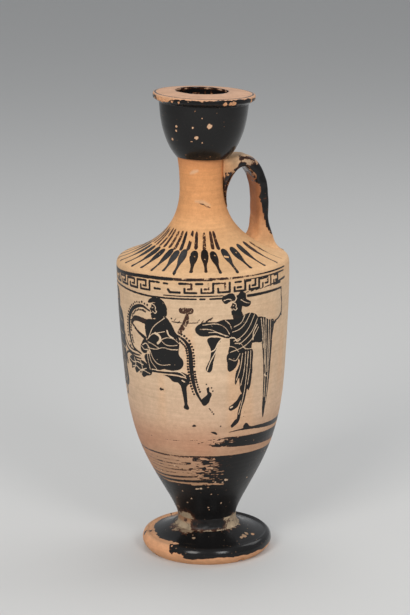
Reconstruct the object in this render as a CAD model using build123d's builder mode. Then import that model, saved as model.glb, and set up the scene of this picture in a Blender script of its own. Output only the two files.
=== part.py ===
"""A lekythos, the narrow-necked oil flask of fired clay: a foot, a thrown body with its shoulder, a neck,
a calyx mouth and a strap handle, luted together with slip.

Millimetres. The origin is the centre of the ring that the foot stands on, +Z is up and the handle is on +X.
The foot stands level. The body leans a little on it and the mouth sits askew on the neck, as on a hand-made pot,
so the body, neck and handle are drawn on a leaning plane and the mouth on a plane of its own.
"""

import os

from build123d import *

# Slip that lutes the sections together
slip = 0.6

# Foot, with heights above the surface that it stands on
foot_height = 12.0
foot_radius = 30.9
foot_edge_height = 4.8
foot_rest_radius = 27.9
foot_brim_radius = 28.4
foot_brim_height = 8.4
foot_step = 0.6
foot_seat_radius = 16.2
foot_hollow_radius = 21.5
foot_hollow_depth = 6.2

# Fillet of clay round the stem, which spreads out over the foot, keys into it and climbs up the body
stem_fillet_spread = 6.8
stem_fillet_sink = 2.6
stem_fillet_climb = 5.2
stem_fillet_waist = 2.2

# Lean of the body on its foot, in degrees towards +X and +Y
body_lean_x = -0.83
body_lean_y = 0.34

# Body, with heights above its seat on the foot
stem_radius = 13.3
calf_radius = 18.7
calf_height = 15.1
lower_radius = 29.1
lower_height = 35.2
belly_radius = 36.1
belly_height = 59.6
chest_radius = 38.6
chest_height = 84.2
shoulder_radius = 40.4
shoulder_height = 129.8
shoulder_round = 3.2
wall = 4.2
floor_thickness = 10.5

# Shoulder and neck, with rises above the shoulder's edge
slope_radius = 28.0
slope_rise = 4.7
seam_radius = 17.0
seam_rise = 13.0
throat_radius = 11.2
throat_rise = 24.6
waist_radius = 10.3
waist_rise = 35.7
neck_top_radius = 11.1
neck_top_rise = 46.9
bore_radius = 6.6

# Set of the mouth on the neck, in degrees towards +X and +Y and in sideways shift
mouth_lean_x = 1.55
mouth_lean_y = -0.63
mouth_shift_x = 0.6
mouth_shift_y = -0.25

# Mouth, with heights above its seat on the neck
mouth_base_radius = 12.4
mouth_cup_radius = 18.5
mouth_cup_height = 11.3
mouth_top_radius = 20.9
mouth_top_height = 25.3
lip_radius = 23.6
lip_underside = 27.1
lip_edge_height = 29.4
lip_round = 0.7
rim_radius = 12.3
rim_height = 30.4
mouth_hollow_radius = 13.6
mouth_hollow_height = 22.0

# Handle, with drops below the mouth's seat and rises above the shoulder's edge
strap_width = 13.5
strap_thickness = 5.8
strap_round = 2.2
root_drop = 8.4
root_width = 14.5
root_thickness = 12.5
crown_radius = 19.8
crown_drop = 2.9
crown_thickness = 6.6
bend_radius = 25.2
bend_drop = 7.4
handle_reach = 28.7
grip_drop = 18.3
grip_rise = 14.6
base_inset = 11.5
base_rise = 5.2
base_width = 17.0
base_thickness = 12.0

# Smears of clay that hold the two ends of the handle
smear_width = 18.0
upper_smear_length = 24.0
upper_smear_drop = 1.4
lower_smear_length = 16.0

# Directions in which the outlines leave and arrive
stem_start = (0.04, 1)
shoulder_end = (-0.02, 1)
slope_start = (-1, 0.25)
neck_end = (0.15, 1)
rest_start = (1, 0.8)
brim_end = (-1, 0.25)
collar_start = (-1, 0.2)
collar_end = (-1, 0.5)
cup_start = (1, 1.1)
cup_end = (0.08, 1)
rim_start = (0.3, -1)
down = (0, -1)
inward = (-1, 0)

body_plane = Plane.XY.offset(foot_height + slip).rotated((-body_lean_y, body_lean_x, 0))
body_axis = Axis(body_plane.origin, body_plane.z_dir)
handle_plane = Plane(body_plane.origin, x_dir=body_plane.x_dir, z_dir=-body_plane.y_dir)
side_plane = Plane(body_plane.origin, x_dir=body_plane.y_dir, z_dir=body_plane.x_dir)
# Turned forms are drawn on the side away from the handle, so that their seams lie clear of it
section_plane = Plane(body_plane.origin, x_dir=-body_plane.x_dir, z_dir=body_plane.y_dir)

neck_seat = shoulder_height + seam_rise
mouth_seat = shoulder_height + neck_top_rise
base_radius = shoulder_radius - base_inset
shoulder_seam = body_plane.offset(neck_seat)
neck_seam = body_plane.offset(neck_seat + slip)

mouth_origin = body_plane.from_local_coords((mouth_shift_x, mouth_shift_y, mouth_seat))
mouth_tilt = Plane.XY.rotated((-mouth_lean_y, mouth_lean_x, 0))
mouth_plane = Plane(mouth_origin, x_dir=mouth_tilt.x_dir, z_dir=mouth_tilt.z_dir)
mouth_axis = Axis(mouth_plane.origin, mouth_plane.z_dir)
mouth_section_plane = Plane(mouth_plane.origin, x_dir=-mouth_plane.x_dir, z_dir=mouth_plane.y_dir)
mouth_seam = mouth_plane.offset(-slip)


def draw_outer_line(shift=0.0):
    """Outer line of body, shoulder and neck, moved out and up by shift, and the point past the mouth's seat where it ends."""
    neck_spare = mouth_base_radius - bore_radius
    lower = [
        (stem_radius, 0),
        (calf_radius, calf_height),
        (lower_radius, lower_height),
        (belly_radius, belly_height),
        (chest_radius, chest_height),
        (shoulder_radius, shoulder_height),
    ]
    upper = [
        (shoulder_radius, shoulder_height),
        (slope_radius, shoulder_height + slope_rise),
        (seam_radius, shoulder_height + seam_rise),
        (throat_radius, shoulder_height + throat_rise),
        (waist_radius, shoulder_height + waist_rise),
        (neck_top_radius, mouth_seat),
    ]
    lower = [(r + shift, h + shift) for r, h in lower]
    upper = [(r + shift, h + shift) for r, h in upper]
    top = (upper[-1][0] + neck_end[0] * neck_spare, upper[-1][1] + neck_end[1] * neck_spare)
    Spline(*lower, tangents=[stem_start, shoulder_end])
    Spline(*upper, tangents=[slope_start, neck_end])
    Line(upper[-1], top)
    return top


def draw_inner_line(top):
    """Inner line from the top of the neck's bore, down round the cavity, to the middle of the floor."""
    bore_foot = (bore_radius, shoulder_height + throat_rise)
    cavity_top = (shoulder_radius - wall, shoulder_height - 2 * wall)
    Line((bore_radius, top), bore_foot)
    Spline(
        bore_foot,
        (seam_radius - wall, shoulder_height + seam_rise - wall),
        (slope_radius, shoulder_height + slope_rise - wall),
        cavity_top,
        tangents=[down, down],
    )
    Spline(
        cavity_top,
        (chest_radius - wall, chest_height),
        (belly_radius - wall, belly_height),
        (lower_radius - wall, lower_height),
        (calf_radius - wall, calf_height + wall / 2),
        (0, floor_thickness),
        tangents=[down, inward],
    )


def round_shoulder():
    """Rounds the shoulder's edge, which is the widest circle of the form."""
    fillet(edges().filter_by(GeomType.CIRCLE).sort_by(SortBy.RADIUS)[-1], shoulder_round)


# The hollow form that body, neck and the slip between them are cut from
with BuildPart() as thrown_form:
    with BuildSketch(section_plane):
        with BuildLine():
            top = draw_outer_line()
            Line(top, (bore_radius, top[1]))
            draw_inner_line(top[1])
            Polyline((0, floor_thickness), (0, 0), (stem_radius, 0))
        make_face()
    revolve(axis=body_axis)
    round_shoulder()

# The same outer form without its cavity, and one that stands out from it by the thickness of the slip
with BuildPart() as solid_form:
    with BuildSketch(section_plane):
        with BuildLine():
            top = draw_outer_line()
            Polyline(top, (0, top[1]), (0, 0), (stem_radius, 0))
        make_face()
    revolve(axis=body_axis)
    round_shoulder()

with BuildPart() as smeared_form:
    with BuildSketch(section_plane):
        with BuildLine():
            top = draw_outer_line(slip)
            Polyline(top, (0, top[1]), (0, slip), (stem_radius + slip, slip))
        make_face()
    revolve(axis=body_axis)
    round_shoulder()

with BuildPart() as foot:
    brim = (foot_brim_radius, foot_brim_height)
    step = (foot_brim_radius - foot_step, foot_brim_height - foot_step)
    seat = (foot_seat_radius, foot_height)
    with BuildSketch(Plane.XZ):
        with BuildLine():
            Line((foot_hollow_radius, 0), (foot_rest_radius, 0))
            Spline((foot_rest_radius, 0), (foot_radius, foot_edge_height), brim, tangents=[rest_start, brim_end])
            Line(brim, step)
            Spline(step, seat, tangents=[collar_start, collar_end])
            Polyline(seat, (0, foot_height), (0, foot_hollow_depth))
            ThreePointArc(
                (0, foot_hollow_depth),
                (foot_hollow_radius * 2 / 3, foot_hollow_depth * 2 / 3),
                (foot_hollow_radius, 0),
            )
        make_face()
    revolve(axis=Axis.Z)

with BuildPart() as foot_luting:
    spread = (stem_radius + stem_fillet_spread, foot_height - stem_fillet_sink)
    waist = (stem_radius + stem_fillet_waist, foot_height)
    climb = (stem_radius, foot_height + stem_fillet_climb)
    # Turned from the body's own section, so that their seams stay apart
    with BuildSketch(Plane.YZ):
        with BuildLine():
            Bezier(spread, waist, climb)
            Polyline(climb, (0, climb[1]), (0, spread[1]), spread)
        make_face()
    revolve(axis=Axis.Z)
    add(foot.part, mode=Mode.SUBTRACT)
    add(solid_form.part, mode=Mode.SUBTRACT)

with BuildPart() as body:
    add(thrown_form.part)
    split(bisect_by=shoulder_seam, keep=Keep.BOTTOM)

with BuildPart() as neck_luting:
    add(thrown_form.part)
    split(bisect_by=shoulder_seam, keep=Keep.TOP)
    split(bisect_by=neck_seam, keep=Keep.BOTTOM)

with BuildPart() as neck:
    add(thrown_form.part)
    split(bisect_by=neck_seam, keep=Keep.TOP)
    split(bisect_by=mouth_seam, keep=Keep.BOTTOM)

with BuildPart() as mouth_luting:
    add(thrown_form.part)
    split(bisect_by=mouth_seam, keep=Keep.TOP)
    split(bisect_by=mouth_plane, keep=Keep.BOTTOM)

with BuildPart() as mouth:
    cup_foot = (mouth_base_radius, 0)
    cup_top = (mouth_top_radius, mouth_top_height)
    rim = (rim_radius, rim_height)
    with BuildSketch(mouth_section_plane):
        with BuildLine():
            Spline(cup_foot, (mouth_cup_radius, mouth_cup_height), cup_top, tangents=[cup_start, cup_end])
            Polyline(cup_top, (lip_radius, lip_underside), (lip_radius, lip_edge_height), rim)
            Spline(
                rim,
                (mouth_hollow_radius, mouth_hollow_height),
                (bore_radius, 0),
                tangents=[rim_start, down],
            )
            Line((bore_radius, 0), cup_foot)
        make_face()
    revolve(axis=mouth_axis)
    fillet(edges().filter_by(GeomType.CIRCLE).sort_by(SortBy.RADIUS)[-2:], lip_round)

with BuildPart() as handle:
    # Centre of the strap, width and thickness at each station from inside the neck to inside the shoulder
    stations = [
        ((bore_radius / 2, mouth_seat - root_drop - slip), root_width, root_thickness),
        ((waist_radius, mouth_seat - root_drop), root_width, root_thickness),
        ((crown_radius, mouth_seat - crown_drop), strap_width, crown_thickness),
        ((bend_radius, mouth_seat - bend_drop), strap_width, crown_thickness),
        ((handle_reach, mouth_seat - grip_drop), strap_width, strap_thickness),
        ((handle_reach, shoulder_height + grip_rise), strap_width, strap_thickness),
        ((base_radius, shoulder_height + base_rise), base_width, base_thickness),
        ((base_radius, shoulder_height - shoulder_round), base_width, base_thickness),
    ]
    with BuildLine(handle_plane) as handle_path:
        Spline(*[centre for centre, width, thickness in stations])
    for (radius, height), width, thickness in stations:
        centre = handle_plane.from_local_coords((radius, height, 0))
        direction = handle_path.edge().tangent_at(centre)
        with BuildSketch(Plane(centre, x_dir=body_plane.y_dir, z_dir=direction)):
            RectangleRounded(width, thickness, strap_round)
    loft()
    add(smeared_form.part, mode=Mode.SUBTRACT)
    add(mouth.part, mode=Mode.SUBTRACT)

with BuildPart() as handle_upper_luting:
    with BuildSketch(side_plane):
        with Locations((0, mouth_seat - upper_smear_drop - upper_smear_length / 2)):
            Ellipse(smear_width / 2, upper_smear_length / 2)
    extrude(amount=seam_radius + slip)
    add(smeared_form.part, mode=Mode.INTERSECT)
    add(solid_form.part, mode=Mode.SUBTRACT)
    add(mouth.part, mode=Mode.SUBTRACT)

with BuildPart() as handle_lower_luting:
    with BuildSketch(body_plane.offset(shoulder_height - shoulder_round)):
        with Locations((base_radius, 0)):
            Ellipse(lower_smear_length / 2, smear_width / 2)
    extrude(amount=shoulder_round + seam_rise + slip)
    add(smeared_form.part, mode=Mode.INTERSECT)
    add(solid_form.part, mode=Mode.SUBTRACT)

os.makedirs("parts", exist_ok=True)
pieces = {
    "foot": foot,
    "foot_luting": foot_luting,
    "body": body,
    "neck_luting": neck_luting,
    "neck": neck,
    "mouth_luting": mouth_luting,
    "mouth": mouth,
    "handle": handle,
    "handle_upper_luting": handle_upper_luting,
    "handle_lower_luting": handle_lower_luting,
}
for name, piece in pieces.items():
    piece.part.label = name
    export_step(piece.part, f"parts/{name}.step")
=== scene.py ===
"""A lekythos of fired clay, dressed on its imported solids: turned sections, slip painting and wear.

Lengths are millimetres until a mesh is made. Angles on the pot run in degrees from the side that faces the
camera, positive towards the handle. Heights on the vessel are above the body's seat on its foot.
"""

import itertools
import math

import bpy
import numpy as np
from mathutils import Euler, Matrix, Vector


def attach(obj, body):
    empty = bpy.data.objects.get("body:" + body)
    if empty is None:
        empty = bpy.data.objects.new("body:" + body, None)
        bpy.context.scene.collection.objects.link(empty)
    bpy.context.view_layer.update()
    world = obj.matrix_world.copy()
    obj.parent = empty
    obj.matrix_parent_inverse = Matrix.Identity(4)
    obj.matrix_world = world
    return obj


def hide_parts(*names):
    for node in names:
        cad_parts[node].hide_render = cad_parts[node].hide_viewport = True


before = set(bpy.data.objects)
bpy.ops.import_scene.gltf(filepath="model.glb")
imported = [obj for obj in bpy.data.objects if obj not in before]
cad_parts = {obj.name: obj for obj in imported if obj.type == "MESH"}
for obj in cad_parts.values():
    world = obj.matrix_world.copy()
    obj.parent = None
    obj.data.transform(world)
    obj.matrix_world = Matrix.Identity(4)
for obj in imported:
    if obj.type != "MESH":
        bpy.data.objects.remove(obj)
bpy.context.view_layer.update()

# Direction of the front about the Z axis, and the radii at which the wall, the shoulder and the neck are
# rolled out flat for painting
FRONT = -112.0
WALL_RADIUS = 39.5
SHOULDER_RADIUS = 30.0
NECK_RADIUS = 11.0
# Level of the shoulder's edge, between the paintings on the wall and on the slope
EDGE_LEVEL = 129.0
# Level given to points that lie off a painted ground, out of reach of every brush
OFF_GROUND = -50.0
# Width of the line that scratches a fold, and the height of a head as its points are written
FOLD = 0.39
DRAWN_HEAD = 8.6
# Name of the flat map, and the share of their length that hidden rows get on it
FLAT_MAP = "OFBake"
HIDDEN_SHARE = 0.2

body_seat = 12.6
mouth_seat = 176.7
mouth_shift = (0.6, -0.25)


def leaning(origin, lean_x, lean_y):
    """A place at this origin, turned by these degrees about X and Y."""
    turn = Euler((math.radians(lean_x), math.radians(lean_y), 0))
    return Matrix.Translation(origin) @ turn.to_matrix().to_4x4()


body_place = leaning((0, 0, body_seat), -0.34, -0.83)
mouth_place = leaning(body_place @ Vector((*mouth_shift, mouth_seat)), 0.63, 1.55)
foot_place = Matrix.Identity(4)


# Lines and noise

def smooth_line(points, start, end, count):
    """A smooth curve through these points, which leaves and arrives in the given directions."""
    points = np.array(points, float)
    steps = np.linalg.norm(np.diff(points, axis=0), axis=1)
    at = np.concatenate([[0], np.cumsum(steps)])
    last = len(points) - 1
    system = np.eye(last + 1)
    slopes = np.zeros_like(points)
    slopes[0] = np.array(start) / np.linalg.norm(start)
    slopes[last] = np.array(end) / np.linalg.norm(end)
    for i in range(1, last):
        before, after = steps[i - 1], steps[i]
        system[i, i - 1:i + 2] = after, 2 * (before + after), before
        behind, ahead = points[i] - points[i - 1], points[i + 1] - points[i]
        slopes[i] = 3 * (after / before * behind + before / after * ahead)
    slopes = np.linalg.solve(system, slopes)
    along = np.linspace(0, at[-1], count)
    i = np.clip(np.searchsorted(at, along, "right") - 1, 0, last - 1)
    s = ((along - at[i]) / steps[i])[:, None]
    span = steps[i][:, None]
    return (
        (1 + 2 * s) * (1 - s) ** 2 * points[i]
        + s * (1 - s) ** 2 * span * slopes[i]
        + s**2 * (3 - 2 * s) * points[i + 1]
        + s**2 * (s - 1) * span * slopes[i + 1]
    )


def loose_line(points, count=60):
    """A smooth curve that leaves and arrives straight along its first and last step."""
    points = np.array(points, float)
    return smooth_line(points, points[1] - points[0], points[-1] - points[-2], count)


def round_corner(first, second, reach):
    """Joins two lines that meet at a corner by an arc that starts and ends this far from it."""
    corner = first[-1]
    first = first[np.linalg.norm(first - corner, axis=1) > reach]
    second = second[np.linalg.norm(second - corner, axis=1) > reach]
    towards, away = corner - first[-1], second[0] - corner
    turn_angle = math.acos(towards @ away / np.linalg.norm(towards) / np.linalg.norm(away))
    weight = math.cos(turn_angle / 2)
    u = np.linspace(0, 1, 14)[:, None]
    parts = (1 - u) ** 2, 2 * u * (1 - u) * weight, u**2
    arc = (parts[0] * first[-1] + parts[1] * corner + parts[2] * second[0]) / sum(parts)
    return np.vstack([first[:-1], arc, second[1:]])


def respace(line, spacing):
    """The same line with points as far apart as spacing says for the place they are at."""
    steps = np.linalg.norm(np.diff(line, axis=0), axis=1)
    at = np.concatenate([[0], np.cumsum(steps)])
    marks = [0.0]
    while marks[-1] < at[-1]:
        here = [np.interp(marks[-1], at, line[:, k]) for k in (0, 1)]
        marks.append(marks[-1] + spacing(*here))
    marks = np.array(marks) * at[-1] / marks[-1]
    return np.column_stack([np.interp(marks, at, line[:, k]) for k in (0, 1)])


def lumps(points, size, seed):
    """Smooth noise from 0 to 1 with lumps of about this size, which may differ along the axes."""
    cells = np.asarray(points, float) / size
    low = np.floor(cells).astype(np.int64)
    part = cells - low
    part = part * part * (3 - 2 * part)
    total = np.zeros(len(cells))
    for corner in itertools.product((0, 1), repeat=3):
        key = (low + corner) @ np.array([374761393, 668265263, 1442695041]) + seed * 974711
        key = (key ^ (key >> 13)) * 1274126177
        value = ((key ^ (key >> 16)) & 0xFFFF) / 65535
        total += value * np.prod(np.where(corner, part, 1 - part), axis=1)
    return total


def grain(points, size, seed):
    """The same noise about 0, from -0.5 to 0.5."""
    return lumps(points, size, seed) - 0.5


def wheel_lines(points, stretch, size, seed):
    """The noise from 0 to 1, drawn out round the pot by the wheel to this many times its size."""
    return lumps(points / np.array([stretch, stretch, 1]), size, seed)


def ease(value, low, high):
    """0 below low, 1 above high and smooth between."""
    s = np.clip((value - low) / (high - low), 0, 1)
    return s * s * (3 - 2 * s)


def fade(value, low, high):
    """1 below low, 0 above high and smooth between."""
    return 1 - ease(value, low, high)


def between(value, start, full, fading, gone):
    """0 below start, 1 from full to fading, 0 above gone and smooth between."""
    return ease(value, start, full) * fade(value, fading, gone)


def near_angle(angle, middle, full, gone):
    """1 up to full degrees from the middle, 0 beyond gone degrees and smooth between."""
    return fade(np.abs(angle - middle), full, gone)


# Colours

def linear(*srgb):
    """A colour written as screen values from 0 to 255, as the light values that shaders take."""
    share = np.array(srgb, float) / 255
    return np.where(share > 0.04045, ((share + 0.055) / 1.055) ** 2.4, share / 12.92)


def colour_by(value, stops):
    """Colours between stops of (value, screen colour)."""
    at = [s[0] for s in stops]
    shades = np.array([linear(*s[1]) for s in stops])
    return np.column_stack([np.interp(value, at, shades[:, k]) for k in range(3)])


def tinted(clay, share, *srgb):
    """Clay colours mixed with a screen colour, by this share at each point."""
    return clay * (1 - share[:, None]) + linear(*srgb) * share[:, None]


def mottled(points, *noises):
    """Factors near 1 for clay colours, from the strength, size and seed of each noise."""
    shades = (strength * grain(points, size, seed) for strength, size, seed in noises)
    return sum(shades, 1)[:, None]


FRESH_CLAY = linear(222, 200, 172)


# Turned pieces

class Turned:
    """A turned mesh: the angle, radius and height of each point, and the paint on it."""

    def __init__(self, outline, angles, core, seen_rows=None):
        outline = np.array(outline, float)
        self.core = np.array(core, float)
        self.poles = [p for p in (outline[0], outline[-1]) if p[0] < 1e-9]
        rings = outline[outline[:, 0] > 1e-9]
        self.rows, self.columns = len(rings), len(angles)
        # Shares of the way round and along the outline, for the flat map; hidden rows get less of it
        closed = outline if self.poles else np.vstack([outline, outline[:1]])
        lengths = np.linalg.norm(np.diff(closed, axis=0), axis=1)
        lengths[len(lengths) if seen_rows is None else seen_rows:] *= HIDDEN_SHARE
        along = np.concatenate([[0], np.cumsum(lengths)]) / lengths.sum()
        self.along = along[1:-1] if self.poles else along
        self.round = (np.append(angles, angles[0] + 360) - angles[0]) / 360
        self.angle = np.tile(angles, self.rows)
        self.radius = np.repeat(rings[:, 0], self.columns)
        self.height = np.repeat(rings[:, 1], self.columns)
        self.row = np.repeat(np.arange(self.rows), self.columns)
        self.gloss = np.zeros(len(self.angle))
        self.clay = np.ones((len(self.angle), 3))
        self.pale = np.zeros(len(self.angle))

    def points(self):
        turn = np.radians(FRONT + self.angle)
        return np.column_stack([self.radius * np.cos(turn), self.radius * np.sin(turn), self.height])

    def dent(self, angle, radius, height, size, depth, seed, pale=0.0):
        """Breaks a rough chip out of the surface, down to clay that may be paler than the skin."""
        centre = self.spot(angle, radius, height)
        points = self.points()
        away = np.linalg.norm(points - centre, axis=1) / size
        near = np.nonzero(away < 1.6)[0]
        rough = away[near] + 0.7 * grain(points[near], size * 0.45, seed)
        push = depth * fade(rough, 0.35, 1.0)
        inward = np.array([radius, height]) - self.core
        inward = inward / np.linalg.norm(inward)
        self.radius[near] -= push * inward[0]
        self.height[near] -= push * inward[1]
        self.gloss[near] *= ease(rough, 0.75, 1.05)
        self.pale[near] = np.maximum(self.pale[near], pale * fade(rough, 0.75, 1.05))

    def spot(self, angle, radius, height):
        turn = math.radians(FRONT + angle)
        return np.array([radius * math.cos(turn), radius * math.sin(turn), height])

    def mesh(self, name, place):
        points = [tuple(p) for p in self.points()]
        points += [(0.0, 0.0, p[1]) for p in self.poles]
        row, column = np.mgrid[0:self.rows, 0:self.columns]
        after = (column + 1) % self.columns
        above = (row + 1) % self.rows
        quads = np.stack([
            row * self.columns + column,
            row * self.columns + after,
            above * self.columns + after,
            above * self.columns + column,
        ], axis=-1)
        if self.poles:
            quads, row, column = quads[:-1], row[:-1], column[:-1]
        faces = quads.reshape(-1, 4).tolist()
        across = self.round[np.stack([column, column + 1, column + 1, column], axis=-1)]
        upwards = self.along[np.stack([row, row, row + 1, row + 1], axis=-1)]
        flat = np.stack([across, upwards], axis=-1).reshape(-1, 2).tolist()
        if self.poles:
            first, last = len(points) - 2, len(points) - 1
            top = (self.rows - 1) * self.columns
            for j in range(self.columns):
                k = (j + 1) % self.columns
                left, right = self.round[j], self.round[j + 1]
                faces.append((first, k, j))
                flat += [((left + right) / 2, 0), (right, self.along[0]), (left, self.along[0])]
                faces.append((last, top + j, top + k))
                flat += [((left + right) / 2, 1), (left, self.along[-1]), (right, self.along[-1])]
        clay = self.clay + self.pale[:, None] * (FRESH_CLAY - self.clay)
        return make_piece(name, points, faces, flat, place, self.gloss, clay)


def make_piece(name, points, faces, flat, place, gloss, clay):
    """A smooth mesh object in metres with a flat map, and its slip cover and clay colour on its points."""
    placed = np.array(points) @ np.array(place.to_3x3()).T + np.array(place.translation)
    mesh = bpy.data.meshes.new(name)
    mesh.from_pydata((placed / 1000).tolist(), [], faces)
    spare = len(points) - len(gloss)
    gloss = np.concatenate([gloss, np.zeros(spare)])
    clay = np.vstack([clay, np.tile(clay[-1:], (spare, 1))])
    cover = mesh.attributes.new("slip_cover", "FLOAT", "POINT")
    cover.data.foreach_set("value", gloss.astype(np.float32))
    colour = mesh.attributes.new("clay_colour", "FLOAT_COLOR", "POINT")
    colour.data.foreach_set("color", np.column_stack([clay, np.ones(len(clay))]).astype(np.float32).ravel())
    mesh.uv_layers.new(name=FLAT_MAP).data.foreach_set("uv", np.array(flat, np.float32).ravel())
    mesh.shade_smooth()
    piece = bpy.data.objects.new(name, mesh)
    bpy.context.scene.collection.objects.link(piece)
    return piece


# Painting with slip

class Ground:
    """A flat map of part of a turned surface, on which slip is brushed, filled in and scratched away."""

    def __init__(self, x, y, edge=0.2):
        self.x, self.y, self.edge = x, y, edge
        self.cover = np.zeros(len(x))
        self.cut = np.zeros(len(x))

    def near(self, line, pad):
        low, high = line.min(axis=0) - pad, line.max(axis=0) + pad
        in_x = (self.x > low[0]) & (self.x < high[0])
        in_y = (self.y > low[1]) & (self.y < high[1])
        return np.nonzero(in_x & in_y)[0]

    def reach(self, line, widths, found):
        """Distance of the found points from the edge of a brushed line, negative on it."""
        best = np.full(len(found), 1e9)
        px, py = self.x[found], self.y[found]
        for (a, b), (wa, wb) in zip(zip(line, line[1:]), zip(widths, widths[1:])):
            step = b - a
            t = np.clip(((px - a[0]) * step[0] + (py - a[1]) * step[1]) / max(step @ step, 1e-9), 0, 1)
            away = np.hypot(px - a[0] - t * step[0], py - a[1] - t * step[1]) - (wa + t * (wb - wa)) / 2
            best = np.minimum(best, away)
        return best

    def brush(self, points, width, amount=1.0):
        line = np.array(points, float)
        widths = np.interp(np.linspace(0, 1, len(line)), np.linspace(0, 1, np.size(width)), np.ravel(width))
        found = self.near(line, widths.max() + 0.5)
        laid = amount * fade(self.reach(line, widths, found), -self.edge, self.edge)
        self.cover[found] = np.maximum(self.cover[found], laid)

    def sweep(self, points, width, amount=1.0):
        self.brush(loose_line(points), width, amount)

    def scratch(self, points, width=FOLD, amount=1.0):
        line = loose_line(points) if len(points) > 2 else np.array(points, float)
        widths = np.full(len(line), width)
        found = self.near(line, width + 0.5)
        cut = amount * fade(self.reach(line, widths, found), -0.17, 0.11)
        self.cut[found] = np.maximum(self.cut[found], cut * self.cover[found])
        self.cover[found] *= 1 - cut

    def fill(self, points, amount=1.0):
        corners = np.array(points, float)
        closed = np.vstack([corners[-1:], corners, corners[:2]])
        # Between two corners runs the middle third of a curve through them and their neighbours
        runs = [closed[i:i + 4] for i in range(len(corners))]
        line = np.vstack([smooth_line(run, run[1] - run[0], run[3] - run[2], 25)[8:17] for run in runs])
        ring = np.vstack([line, line[:1]])
        found = self.near(ring, 0.6)
        px, py = self.x[found], self.y[found]
        inside = np.zeros(len(found), bool)
        for a, b in zip(ring, ring[1:]):
            if a[1] != b[1]:
                crosses = (a[1] > py) != (b[1] > py)
                inside ^= crosses & (px < (b[0] - a[0]) * (py - a[1]) / (b[1] - a[1]) + a[0])
        away = self.reach(ring, np.zeros(len(ring)), found)
        laid = amount * fade(np.where(inside, -away, away), -self.edge, self.edge)
        self.cover[found] = np.maximum(self.cover[found], laid)

    def dot(self, x, y, size, amount=1.0):
        self.brush([(x, y), (x + 0.01, y)], size, amount)


class Drawn:
    """A ground seen from a figure's place along it, turned round if the figure faces the other way."""

    def __init__(self, ground, x, facing=1):
        self.ground, self.x, self.facing = ground, x, facing

    def put(self, points):
        return [(self.x + self.facing * px, py) for px, py in points]

    def fill(self, *points, amount=1.0):
        self.ground.fill(self.put(points), amount)

    def sweep(self, *points, width, amount=1.0):
        self.ground.sweep(self.put(points), width, amount)

    def scratch(self, *points, width=FOLD):
        self.ground.scratch(self.put(points), width)

    def folds(self, *lines):
        for line in lines:
            self.scratch(*line)


# Vessel: body, shoulder and neck in one skin, hollow inside

wall_line = smooth_line(
    [(13.3, 0), (18.7, 15.1), (29.1, 35.2), (36.1, 59.6), (38.6, 84.2), (40.4, 129.8)],
    (0.04, 1), (-0.02, 1), 900,
)
slope_line = smooth_line(
    [(40.4, 129.8), (28, 134.5), (17, 142.8), (11.2, 154.4), (10.3, 165.5), (11.1, 176.7)],
    (-1, 0.25), (0.15, 1), 700,
)
inner_line = np.vstack([
    [(11.1, 177.5), (7, 177.5), (6.6, 165)],
    smooth_line([(6.6, 154.4), (12.8, 138.6), (28, 130.3), (36.2, 121.4)], (0, -1), (0, -1), 30),
    smooth_line(
        [(36.2, 121.4), (34.4, 84.2), (31.9, 59.6), (24.9, 35.2), (14.5, 17.2), (0, 10.5)],
        (0, -1), (-1, 0), 40,
    )[1:],
])
outer_line = round_corner(wall_line, slope_line, 2.45)


def vessel_spacing(radius, height):
    """Distance from row to row, least on the figured wall and on the shoulder."""
    if height < 20:
        return 0.5
    return 0.28 if height < 131 or radius > 21 else 0.45


outer_line = respace(outer_line, vessel_spacing)
outer_rows = len(outer_line)
# Columns lie closest together on the front
vessel_angles = np.concatenate([
    np.arange(-205, -72, 0.46), np.arange(-72, 62, 0.38), np.arange(62, 155, 1.1),
])
vessel = Turned(np.vstack([[(0, 0)], outer_line, inner_line]), vessel_angles, (0, 80), outer_rows)
outside = vessel.row < outer_rows

# Hand-thrown unevenness, always inwards: wheel ridges, slow swells and fine tooling
place = vessel.points()
ridges = wheel_lines(place, 30, 1.7, 3) * 0.07
swells = lumps(place, 24, 4) * 0.22
tooling = wheel_lines(place, 60, 0.6, 5) * 0.035
vessel.radius -= np.where(outside, ridges + swells + tooling, 0)

angle, radius, height = vessel.angle, vessel.radius, vessel.height
on_wall, on_slope = outside & (height < EDGE_LEVEL + 0.2), outside & (height > EDGE_LEVEL)
wall = Ground(np.radians(angle) * WALL_RADIUS, np.where(on_wall, height, OFF_GROUND))
shoulder = Ground(np.radians(angle) * SHOULDER_RADIUS, np.where(on_slope, radius, OFF_GROUND))
rng = np.random.default_rng(11)


def on_shoulder(degrees):
    """Distance of an angle from the front, along the rolled-out shoulder."""
    return math.radians(degrees) * SHOULDER_RADIUS


# Shoulder: buds on long stems round the edge, and short bars above them

def bud(degrees, top, end, broad, amount):
    """A club-shaped bud with its round head up the slope, on a stem that ends in a dot near the edge."""
    x = on_shoulder(degrees)
    lean = rng.uniform(-0.5, 0.5)
    share = np.linspace(0.06, 0.97, 9)
    line = np.column_stack([x + lean * (1 - share), top + (end - top) * share])
    shape = np.array([0.98, 1.08, 1, 0.8, 0.54, 0.42, 0.38, 0.38, 0.48])
    shoulder.brush(loose_line(line), broad * shape * SHOULDER_RADIUS / line[:, 1], amount)


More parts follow.
